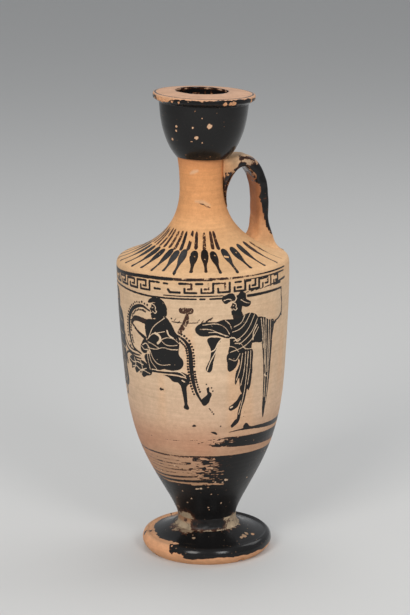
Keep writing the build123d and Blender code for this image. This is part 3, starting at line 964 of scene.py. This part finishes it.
for degrees, radius, level, size in [
    (-39, 19.6, 15.7, 0.62), (-40, 19.2, 13.6, 0.62), (-52, 17.7, 9.1, 0.7), (-14, 19.7, 15.9, 0.5),
    (8, 19.8, 16.7, 1.2), (-9, 18.5, 11.2, 0.95), (-11, 18.5, 11, 0.7), (-2, 20.4, 20.4, 0.42),
    (-17, 17.7, 9.1, 0.42), (-1, 17.7, 8.9, 0.42), (96, 19.6, 16, 0.8), (150, 20.2, 20, 1),
    (-140, 19, 13, 0.8),
]:
    mouth.dent(degrees, radius, level, size, 0.18, int(abs(degrees) * 5 + level), 0.55)
for k, (degrees, size, depth) in enumerate([
    (-72, 0.7, 0.3), (-64, 1.1, 0.4), (-57, 1.7, 0.6), (-49, 1, 0.4), (-38, 0.7, 0.2), (-29, 0.6, 0.2),
    (24, 1.2, 0.4), (30.5, 0.9, 0.3), (35, 1.25, 0.4), (66, 0.9, 0.3), (80, 0.9, 0.4), (92, 0.8, 0.3),
    (140, 1.2, 0.4), (-120, 1, 0.3), (-150, 1.3, 0.4),
]):
    mouth.dent(degrees, LIP_RADIUS, 27.3, size, depth, 200 + k)
mouth.clay = colour_by(mouth.height, [
    (0, (196, 132, 86)), (26, (206, 146, 102)), (28.6, (214, 162, 122)),
    (29.4, (200, 158, 128)), (31, (192, 154, 128)),
])
mouth.clay *= mottled(place, (0.2, 5, 46), (0.1, 1.4, 47))

# Foot: a disc with a rolled edge, a sloping top and a hollow underside

edge_line = smooth_line([(27.9, 0), (30.9, 4.8), (28.4, 8.4)], (1, 0.8), (-1, 0.25), 200)
collar_line = smooth_line([(27.8, 7.8), (16.2, 12)], (-1, 0.2), (-1, 0.5), 80)
hollow_line = [(21.5 * math.sin(t), 6.2 * math.cos(t)) for t in np.linspace(0, math.pi / 2, 14)]
foot_line = np.vstack([
    hollow_line,
    [(22.2, 0), (25, 0)],
    respace(edge_line, lambda radius, height: 0.3),
    respace(collar_line, lambda radius, height: 0.4),
    [(0, 12)],
])
foot = Turned(foot_line, round_angles, (18, 4))
place = foot.points()
on_edge = (foot.radius > 26) & (foot.height > 0.6)
foot.radius -= np.where(on_edge, 0.16 * lumps(place, 9, 51) + 0.05 * wheel_lines(place, 30, 0.9, 52), 0)
on_top = (foot.row > 60) & (foot.height > 7.6) & (foot.radius < 28.2)
foot.height -= np.where(on_top, 0.1 * lumps(place, 6, 53), 0)
# Paint: black but for the underside, the lower edge, a bare patch on the left and dust round the stem
ragged = grain(place, 3, 54)
fine_ragged = grain(place, 0.9, 55)
low_edge = 3.4 + 0.5 * np.sin(np.radians(foot.angle * 1.5 + 40)) + 1.3 * ragged + 0.5 * fine_ragged
painted = ease(foot.height, low_edge - 0.25, low_edge + 0.25) * (foot.radius > 15)
top_face = on_top * fade(foot.radius, 25.4, 27)
bare_from = -24 - 10 * ease(foot.height, 3.8, 6.4) - 30 * top_face + 18 * ragged + 9 * fine_ragged
bare_patch = ease(foot.angle + 26 * ragged + 12 * fine_ragged, -148, -143)
bare_patch *= fade(foot.angle, bare_from - 2, bare_from + 2)
bare_patch *= ease(foot.radius + 1.4 * ragged + 1.2 * fine_ragged, 25.3, 25.9)
foot.gloss = np.clip(painted * (1 - bare_patch), 0, 1)
foot.gloss[(foot.row < 30) & (foot.height < 6.3) & (foot.radius < 27)] = 0
left_dust = near_angle(foot.angle, -48, 18, 42)
right_dust = near_angle(foot.angle, 56, 14, 30)
dust_edge = 15.8 + 2.4 * left_dust + 0.8 * right_dust + 2.6 * ragged + 3.6 * fine_ragged
dust_share = 0.42 + 0.3 * np.maximum(left_dust, right_dust)
dusty = fade(foot.radius, dust_edge - 1.2, dust_edge + 1.2) * on_top * dust_share
foot.gloss *= 1 - 0.8 * dusty
for degrees, radius, level, size, depth in [
    (-18, 20.2, 10.2, 0.8, 0.15), (35, 29, 0.9, 2.2, 0.9), (-24, 30.7, 3.4, 0.8, 0.2),
    (-8, 30.6, 3, 0.7, 0.2), (52, 22.4, 9.3, 1.4, 0.2), (60, 21.8, 9.5, 1, 0.2),
    (46, 22.6, 9.2, 0.9, 0.15), (66, 23.8, 8.9, 1.1, 0.2), (120, 30.8, 5, 1.5, 0.4),
    (170, 30.6, 3.5, 1.8, 0.5), (-150, 30.8, 5.2, 1.3, 0.3), (12, 30.4, 2.6, 0.6, 0.2),
]:
    foot.dent(degrees, radius, level, size, depth, int(abs(degrees) * 3 + radius))
# Two drops of slip on the bare patch
for degrees, level in [(-84.5, 7.4), (-82, 7)]:
    away = np.hypot((foot.angle - degrees) * 0.5, foot.height - level)
    foot.gloss = np.maximum(foot.gloss, fade(away + 0.6 * fine_ragged, 0.6, 1.1) * on_edge)
foot.clay = colour_by(foot.height, [
    (0, (214, 160, 116)), (3, (216, 160, 118)), (5, (220, 160, 117)),
    (7.6, (220, 163, 121)), (9.4, (160, 134, 108)), (12, (146, 126, 102)),
])
foot.clay *= mottled(place, (0.22, 7, 57), (0.1, 1.6, 58))

# Fillet of clay and burial crust round the stem

fillet_low, fillet_bend, fillet_high = np.array([(15.9, 11.8), (13.7, 12.2), (13.85, 17.4)])
u = np.linspace(0, 1, 36)[:, None]
fillet_curve = (1 - u) ** 2 * fillet_low + 2 * u * (1 - u) * fillet_bend + u**2 * fillet_high
fillet_line = np.vstack([[(12.2, 10.8)], fillet_curve, [(12.2, 17)]])
fillet = Turned(fillet_line, np.arange(-180, 180, 0.9), (12, 12))
place = fillet.points()
crust = 0.5 * lumps(place, 3, 61) + 0.3 * lumps(place, 1.2, 62) - 0.4
left_crust = fade(np.abs(fillet.angle + 54) + 22 * crust, 18, 40)
right_crust = 0.95 * fade(np.abs(fillet.angle - 64) + 22 * crust, 18, 40)
fillet.radius += np.where(fillet.radius > 12.6, 0.8 * crust * fade(fillet.height, 14.5, 16.8), 0)
low_ring = fade(fillet.height + 1.4 * crust, 12, 13.2) * 0.62
bare_ring = np.clip(np.maximum.reduce([left_crust, right_crust, low_ring]), 0, 1)
fillet.gloss = np.clip(0.98 - 0.8 * bare_ring + 1.1 * grain(place, 2.2, 63) * bare_ring, 0, 1)
fillet.clay = np.tile(linear(170, 150, 124), (len(fillet.angle), 1))
fillet.clay *= mottled(place, (0.5, 2.6, 64), (0.3, 0.8, 65))
rust = left_crust * ease(fillet.height, 13.8, 15.6) * 0.7
fillet.clay = tinted(fillet.clay, rust, 150, 98, 60)

# Handle: a strap pulled from neck to shoulder, spreading where it is pressed on

strap_rows, strap_columns = 190, 72
# Centre of the strap, its width and its thickness, from the neck to the shoulder
handle_stations = [
    ((8.4, 171), 14.5, 8.6), ((10.6, 171.3), 14.5, 8.2), ((15.4, 173.2), 13.8, 6.6),
    ((20.2, 173.7), 13.5, 6.2), ((25.4, 169.3), 13.5, 6.4), ((28.8, 158.4), 13.5, 6),
    ((28.9, 144.4), 13.5, 6), ((29, 135.6), 16, 9.6), ((28.9, 131.6), 17, 11),
]
path = loose_line([s[0] for s in handle_stations], strap_rows)
station_at = [np.argmin(np.linalg.norm(path - np.array(s[0]), axis=1)) for s in handle_stations]
steps = np.arange(strap_rows)
# Rows near the upper root and near the lower one
by_neck, by_shoulder = (steps < 60)[:, None], (steps > 140)[:, None]
strap_width = np.interp(steps, station_at, [s[1] for s in handle_stations])
strap_thick = np.interp(steps, station_at, [s[2] for s in handle_stations])
# Each round of averages makes the change from station to station smoother
for _ in range(24):
    for size in (strap_width, strap_thick):
        size[1:-1] = (size[:-2] + 2 * size[1:-1] + size[2:]) / 4
direction = np.gradient(path, axis=0)
direction /= np.linalg.norm(direction, axis=1)[:, None]
# Round the strap: shares of the half width and of the half thickness, for a section with full corners
section_turn = np.linspace(0, 2 * math.pi, strap_columns, endpoint=False)
across = np.sign(np.cos(section_turn)) * np.abs(np.cos(section_turn)) ** 0.5
out = np.sign(np.sin(section_turn)) * np.abs(np.sin(section_turn)) ** 0.5
side = strap_width[:, None] / 2 * across[None, :]
lift = strap_thick[:, None] / 2 * out[None, :]
# The outer face dips a little along its middle
lift -= np.where(out > 0.5, 0.35 * np.exp(-((side / 2.6) ** 2)), 0)
forward_reach, forward_rise = direction[:, :1], direction[:, 1:]
reach = path[:, :1] - forward_rise * lift
rise = path[:, 1:] + forward_reach * lift
# Every third point of the vessel's outline is close enough to measure from
skin = outer_line[::3]


def above_skin(reach, side, rise):
    """Distance from the vessel's skin, negative inside it."""
    flat = np.column_stack([np.hypot(reach, side).ravel(), rise.ravel()])
    gap = np.sqrt(((flat[:, None, :] - skin[None, :, :]) ** 2).sum(axis=2))
    nearest = gap.argmin(axis=1)
    ahead = skin[np.minimum(nearest + 1, len(skin) - 1)] - skin[np.maximum(nearest - 1, 0)]
    to_point = flat - skin[nearest]
    outwards = ahead[:, 1] * to_point[:, 0] - ahead[:, 0] * to_point[:, 1]
    return (np.where(outwards > 0, 1, -1) * gap[np.arange(len(flat)), nearest]).reshape(reach.shape)


skin_gap = above_skin(reach, side, rise)
by_skin = np.exp(-np.clip(skin_gap, 0, 20) / 2.6)
flare = 1.5 * np.exp(-np.clip(skin_gap, -0.6, 20) / 1.3)
# Below the upper root the clay is drawn down the neck in a long tongue
tongue = 12 * by_skin * by_neck * ease(-out, 0.3, 0.9)
tongue = tongue * (1 - 0.75 * ease(np.abs(across), 0.55, 1))
pulled = np.column_stack([reach.ravel(), side.ravel(), rise.ravel()])
rough = lumps(pulled, 3.2, 81).reshape(reach.shape)
ridged = lumps(pulled / np.array([6, 1, 6]), 1.1, 82).reshape(reach.shape)
swell = flare - 0.28 * rough - 0.14 * ridged
side = side + swell * across
lift = swell * out
reach = reach - forward_rise * lift
rise = rise + forward_reach * lift
neck_skin = outer_line[outer_line[:, 1] > 148]


def neck_radius(level):
    return np.interp(level, neck_skin[:, 1], neck_skin[:, 0])


# At the lower root the outer face runs out in a long toe on the shoulder
toe = 2.4 * by_skin * by_shoulder * ease(out, 0.2, 0.9)
reach = reach + toe
rise = rise - 0.5 * toe
spread = np.hypot(reach, side) - neck_radius(rise)
rise = rise - tongue
drawn = np.sqrt(np.clip((neck_radius(rise) + spread) ** 2 - side**2, 0, None))
reach = np.where(tongue > 0.02, drawn, reach)
strap_points = np.column_stack([reach.ravel(), side.ravel(), rise.ravel()])
quad_corners = [(0, 0), (1, 0), (1, 1), (0, 1)]
strap_faces = [
    tuple((i + a) * strap_columns + (j + b) % strap_columns for a, b in quad_corners)
    for i in range(strap_rows - 1) for j in range(strap_columns)
]
strap_flat = [
    ((j + b) / strap_columns, 0.94 * (i + a) / (strap_rows - 1))
    for i in range(strap_rows - 1) for j in range(strap_columns) for a, b in quad_corners
]
# The two hidden ends have their own corners of the flat map
strap_faces.append(tuple(range(strap_columns)))
strap_flat += [(0.1 + 0.09 * across[j], 0.97 + 0.02 * out[j]) for j in range(strap_columns)]
strap_faces.append(tuple((strap_rows - 1) * strap_columns + j for j in range(strap_columns))[::-1])
strap_flat += [(0.4 + 0.09 * across[j], 0.97 + 0.02 * out[j]) for j in reversed(range(strap_columns))]
# Paint: black, worn to clay on top of the crown, along the lower inside and at both roots
along = np.repeat(np.linspace(0, 1, strap_rows), strap_columns)
outer_face = np.tile(out, strap_rows)
strap_noise = grain(strap_points, 3.4, 83)
strap_fine = grain(strap_points, 1, 84)
painted_face = outer_face + 0.5 * strap_noise + 0.2 * strap_fine - 1.2 * ease(along, 0.55, 0.9)
strap_cover = ease(painted_face, -0.86, -0.62)
crown = fade(np.abs(along - 0.22 + 0.1 * strap_noise), 0.05, 0.13)
strap_cover *= 1 - 0.72 * crown * ease(outer_face + 0.6 * strap_noise, 0.35, 0.85)
strap_cover *= fade(along + 0.1 * strap_noise + 0.03 * strap_fine, 0.83, 0.9)
inner_top = fade(along + 0.3 * strap_noise, 0.3, 0.48) * ease(along, 0.02, 0.1)
strap_cover = np.maximum(strap_cover, 0.66 * fade(outer_face, -0.9, -0.5) * inner_top)
root = fade(along + 0.12 * strap_noise, 0.18, 0.3)
strap_cover += root * (ease(-outer_face + 0.6 * strap_noise + 0.5 * strap_fine, 0, 0.5) - strap_cover)
near_side = np.tile(ease(-across, 0.4, 0.8), strap_rows)
off_streak = outer_face - 0.56 + 0.5 * strap_noise + 0.3 * strap_fine
side_streak = np.exp(-((off_streak / 0.4) ** 2)) * near_side
side_streak *= ease(along + 0.05 * strap_noise, 0.13, 0.18) * fade(along, 0.26, 0.31)
strap_cover = np.maximum(strap_cover, 0.8 * side_streak)
strap_cover -= 0.45 * ease(lumps(strap_points, 1.4, 85), 0.68, 0.8)
strap_cover = np.clip(strap_cover - (0.3 - 0.9 * strap_fine) * fade(along, 0.1, 0.16), 0, 1)
# Clay colour along the strap: darker down the middle, partly as painted shade on the inside of the loop and
# partly as worn slip there
strap_clay_and_shade = colour_by(along, [
    (0, (206, 150, 104)), (0.12, (204, 164, 124)), (0.22, (190, 160, 130)), (0.4, (152, 98, 64)),
    (0.7, (168, 112, 74)), (0.85, (206, 152, 106)), (1, (220, 172, 124)),
])
strap_clay_and_shade *= (1 + 0.3 * strap_noise + 0.16 * strap_fine)[:, None]


# Materials

class Socket:
    """A socket in a material, whose operators add the nodes that work the sum out."""

    def __init__(self, tree, socket):
        self.tree, self.socket = tree, socket

    def node(self, kind, settings, inputs, output=0):
        made = self.tree.nodes.new(kind)
        for name, value in settings.items():
            setattr(made, name, value)
        for name, value in inputs.items():
            if isinstance(value, Socket):
                self.tree.links.new(value.socket, made.inputs[name])
            else:
                made.inputs[name].default_value = value
        return Socket(self.tree, made.outputs[output])

    def math(self, operation, first, second):
        return self.node("ShaderNodeMath", {"operation": operation}, {0: first, 1: second})

    def __add__(self, other):
        return self.math("ADD", self, other)

    def __sub__(self, other):
        return self.math("SUBTRACT", self, other)

    def __rsub__(self, other):
        return self.math("SUBTRACT", other, self)

    def __mul__(self, other):
        return self.math("MULTIPLY", self, other)

    __radd__, __rmul__ = __add__, __mul__

    def ease(self, low, high):
        """0 below low, 1 above high and smooth between."""
        limits = {"Value": self, "From Min": low, "From Max": high}
        return self.node("ShaderNodeMapRange", {"interpolation_type": "SMOOTHSTEP"}, limits)

    def mix(self, below, above):
        """From one colour to another as this value goes from 0 to 1."""
        return self.node("ShaderNodeMix", {"data_type": "RGBA"}, {0: self, 6: below, 7: above}, 2)


def rgba(*srgb):
    return (*linear(*srgb), 1.0)


black_slip = rgba(23, 22, 22)
thin_slip = rgba(70, 41, 27)
dark_tone, pale_tone = (0.84, 0.82, 0.8, 1), (1.08, 1.09, 1.1, 1)
clay_roughness = 0.66


def ease_window(cover):
    """More wear where the slip is already thin, and little where it is full or absent."""
    return cover.ease(0.02, 0.3) * (1 - cover.ease(0.86, 1.0) * 0.55)


def slip_and_clay(name, ragged, gloss_roughness, streak):
    """Fired clay with black slip where the piece's own paint says so, worn thin and ragged at its edges."""
    material = bpy.data.materials.new(name)
    material.use_nodes = True
    tree = material.node_tree
    shader = tree.nodes["Principled BSDF"]
    base = Socket(tree, None)
    where = base.node("ShaderNodeTexCoord", {}, {}, "Object")
    cover = base.node("ShaderNodeAttribute", {"attribute_name": "slip_cover"}, {}, "Fac")
    clay = base.node("ShaderNodeAttribute", {"attribute_name": "clay_colour"}, {}, "Color")

    def speckle(scale, detail, stretch=(1, 1, 1)):
        spread = base.node("ShaderNodeVectorMath", {"operation": "MULTIPLY"}, {0: where, 1: stretch})
        values = {"Vector": spread, "Scale": scale, "Detail": detail, "Roughness": 0.6}
        return base.node("ShaderNodeTexNoise", {}, values, "Fac")

    fine = speckle(1500, 3)
    coarse = speckle(420, 4)
    streaks = speckle(70, 4, (1, 1, 16))
    specks = speckle(760, 2).ease(0.69, 0.74)
    wear = (fine - 0.5) * ragged + (coarse - 0.5) * ragged + (streaks - 0.5) * streak
    slip = (cover + wear * ease_window(cover) - specks * 0.55).ease(0.4, 0.58)
    slow = speckle(55, 2)
    thin = 1 - (cover + (coarse - 0.5) * 0.6 + (slow - 0.5) * 0.5).ease(0.58, 0.9)
    black = thin.mix(black_slip, thin_slip)
    bare = ((coarse - 0.5) * 0.8 + (fine - 0.5) * 0.6 + (streaks - 0.5) * 0.6 + 0.5).ease(0.1, 0.9)
    tone = bare.mix(dark_tone, pale_tone)
    multiply = {"data_type": "RGBA", "blend_type": "MULTIPLY"}
    toned_clay = base.node("ShaderNodeMix", multiply, {0: 1.0, 6: clay, 7: tone}, 2)
    colour = slip.mix(toned_clay, black)
    gloss = (coarse - 0.5) * 0.24 + gloss_roughness
    rough = slip * (gloss - clay_roughness) + (clay_roughness + (fine - 0.5) * 0.16)
    heights = slip * 0.35 + fine * 0.16 + coarse * 0.2 + streaks * 0.22
    bump = base.node("ShaderNodeBump", {}, {"Height": heights, "Strength": 0.5, "Distance": 0.00016})
    shader.inputs["Specular IOR Level"].default_value = 0.28
    tree.links.new(colour.socket, shader.inputs["Base Color"])
    tree.links.new(rough.socket, shader.inputs["Roughness"])
    tree.links.new(bump.socket, shader.inputs["Normal"])
    return material


vessel_finish = slip_and_clay("figured_clay", 0.9, 0.34, 0.4)
gloss_finish = slip_and_clay("black_gloss_clay", 0.8, 0.18, 0.3)
strap_finish = slip_and_clay("strap_gloss_clay", 0.9, 0.16, 0.1)
crust_finish = slip_and_clay("crusted_clay", 1.2, 0.4, 0.1)

vessel_skin = vessel.mesh("vessel_skin", body_place)
calyx_mouth = mouth.mesh("calyx_mouth", mouth_place)
disc_foot = foot.mesh("disc_foot", foot_place)
stem_fillet = fillet.mesh("stem_fillet", foot_place)
strap_handle = make_piece(
    "strap_handle", strap_points, strap_faces, strap_flat, body_place, strap_cover, strap_clay_and_shade
)
pieces = [
    (vessel_skin, vessel_finish, "reserved_clay", ("body", "neck_luting", "neck", "mouth_luting")),
    (calyx_mouth, gloss_finish, "black_gloss", ("mouth",)),
    (disc_foot, gloss_finish, "black_gloss", ("foot",)),
    (stem_fillet, crust_finish, "luting_clay", ("foot_luting",)),
    (strap_handle, strap_finish, "black_gloss", ("handle", "handle_upper_luting", "handle_lower_luting")),
]
for piece, finish, slot, nodes in pieces:
    piece.data.materials.append(finish)
    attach(piece, "root")
    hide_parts(*nodes)

# Floor, light and camera

floor_mesh = bpy.data.meshes.new("floor")
floor_half = 9
floor_corners = [(x * floor_half, y * floor_half, 0) for x, y in [(-1, -1), (1, -1), (1, 1), (-1, 1)]]
floor_mesh.from_pydata(floor_corners, [], [(0, 1, 2, 3)])
floor = bpy.data.objects.new("floor", floor_mesh)
bpy.context.scene.collection.objects.link(floor)
floor_finish = bpy.data.materials.new("pale_floor")
floor_finish.use_nodes = True
floor_shader = floor_finish.node_tree.nodes["Principled BSDF"]
floor_shader.inputs["Base Color"].default_value = (0.62, 0.62, 0.61, 1)
floor_shader.inputs["Roughness"].default_value = 0.8
floor_mesh.materials.append(floor_finish)

world = bpy.data.worlds.new("studio")
bpy.context.scene.world = world
world.use_nodes = True
sky = world.node_tree.nodes["Background"]
sky.inputs["Color"].default_value = (0.9, 0.92, 0.95, 1)
sky.inputs["Strength"].default_value = 0.42
pot_middle = Vector((0, 0, 0.11))


def soft_lamp(name, place, size, power, colour=(1, 1, 1)):
    """A large lamp at a place in metres, turned towards the middle of the pot."""
    data = bpy.data.lights.new(name, "AREA")
    data.shape = "RECTANGLE"
    data.size, data.size_y = size
    data.energy = power
    data.color = colour
    lamp = bpy.data.objects.new(name, data)
    lamp.location = place
    lamp.rotation_mode = "QUATERNION"
    lamp.rotation_quaternion = (pot_middle - Vector(place)).to_track_quat("-Z", "Y")
    bpy.context.scene.collection.objects.link(lamp)


soft_lamp("key", (-0.92, -0.78, 0.85), (0.45, 0.65), 8.6, (1, 0.98, 0.95))
soft_lamp("side", (0.12, -1.05, 0.72), (0.3, 0.4), 3.7)
soft_lamp("rear", (0.95, 0.1, 0.9), (0.6, 0.6), 2.5)
soft_lamp("top", (0.1, 0.35, 1.3), (0.7, 0.7), 4.0)

# The camera stands before the front, turned by its heading from the Y axis, and looks down by its pitch
pitch, heading = math.radians(13.58), math.radians(22)
camera_aside, camera_back, camera_height = -0.91, 992, 357
right = Vector((math.cos(heading), -math.sin(heading), 0))
depth = Vector((math.sin(heading), math.cos(heading), 0))
up = Vector((0, 0, 1))
forward = depth * math.cos(pitch) - up * math.sin(pitch)
camera_data = bpy.data.cameras.new("camera")
camera_data.lens = 127.4
camera_data.sensor_width = 36
camera = bpy.data.objects.new("camera", camera_data)
camera.location = (camera_aside * right - camera_back * depth + camera_height * up) / 1000
camera.rotation_mode = "QUATERNION"
camera.rotation_quaternion = forward.to_track_quat("-Z", "Y")
bpy.context.scene.collection.objects.link(camera)
bpy.context.scene.camera = camera
bpy.context.scene.view_settings.view_transform = "Standard"
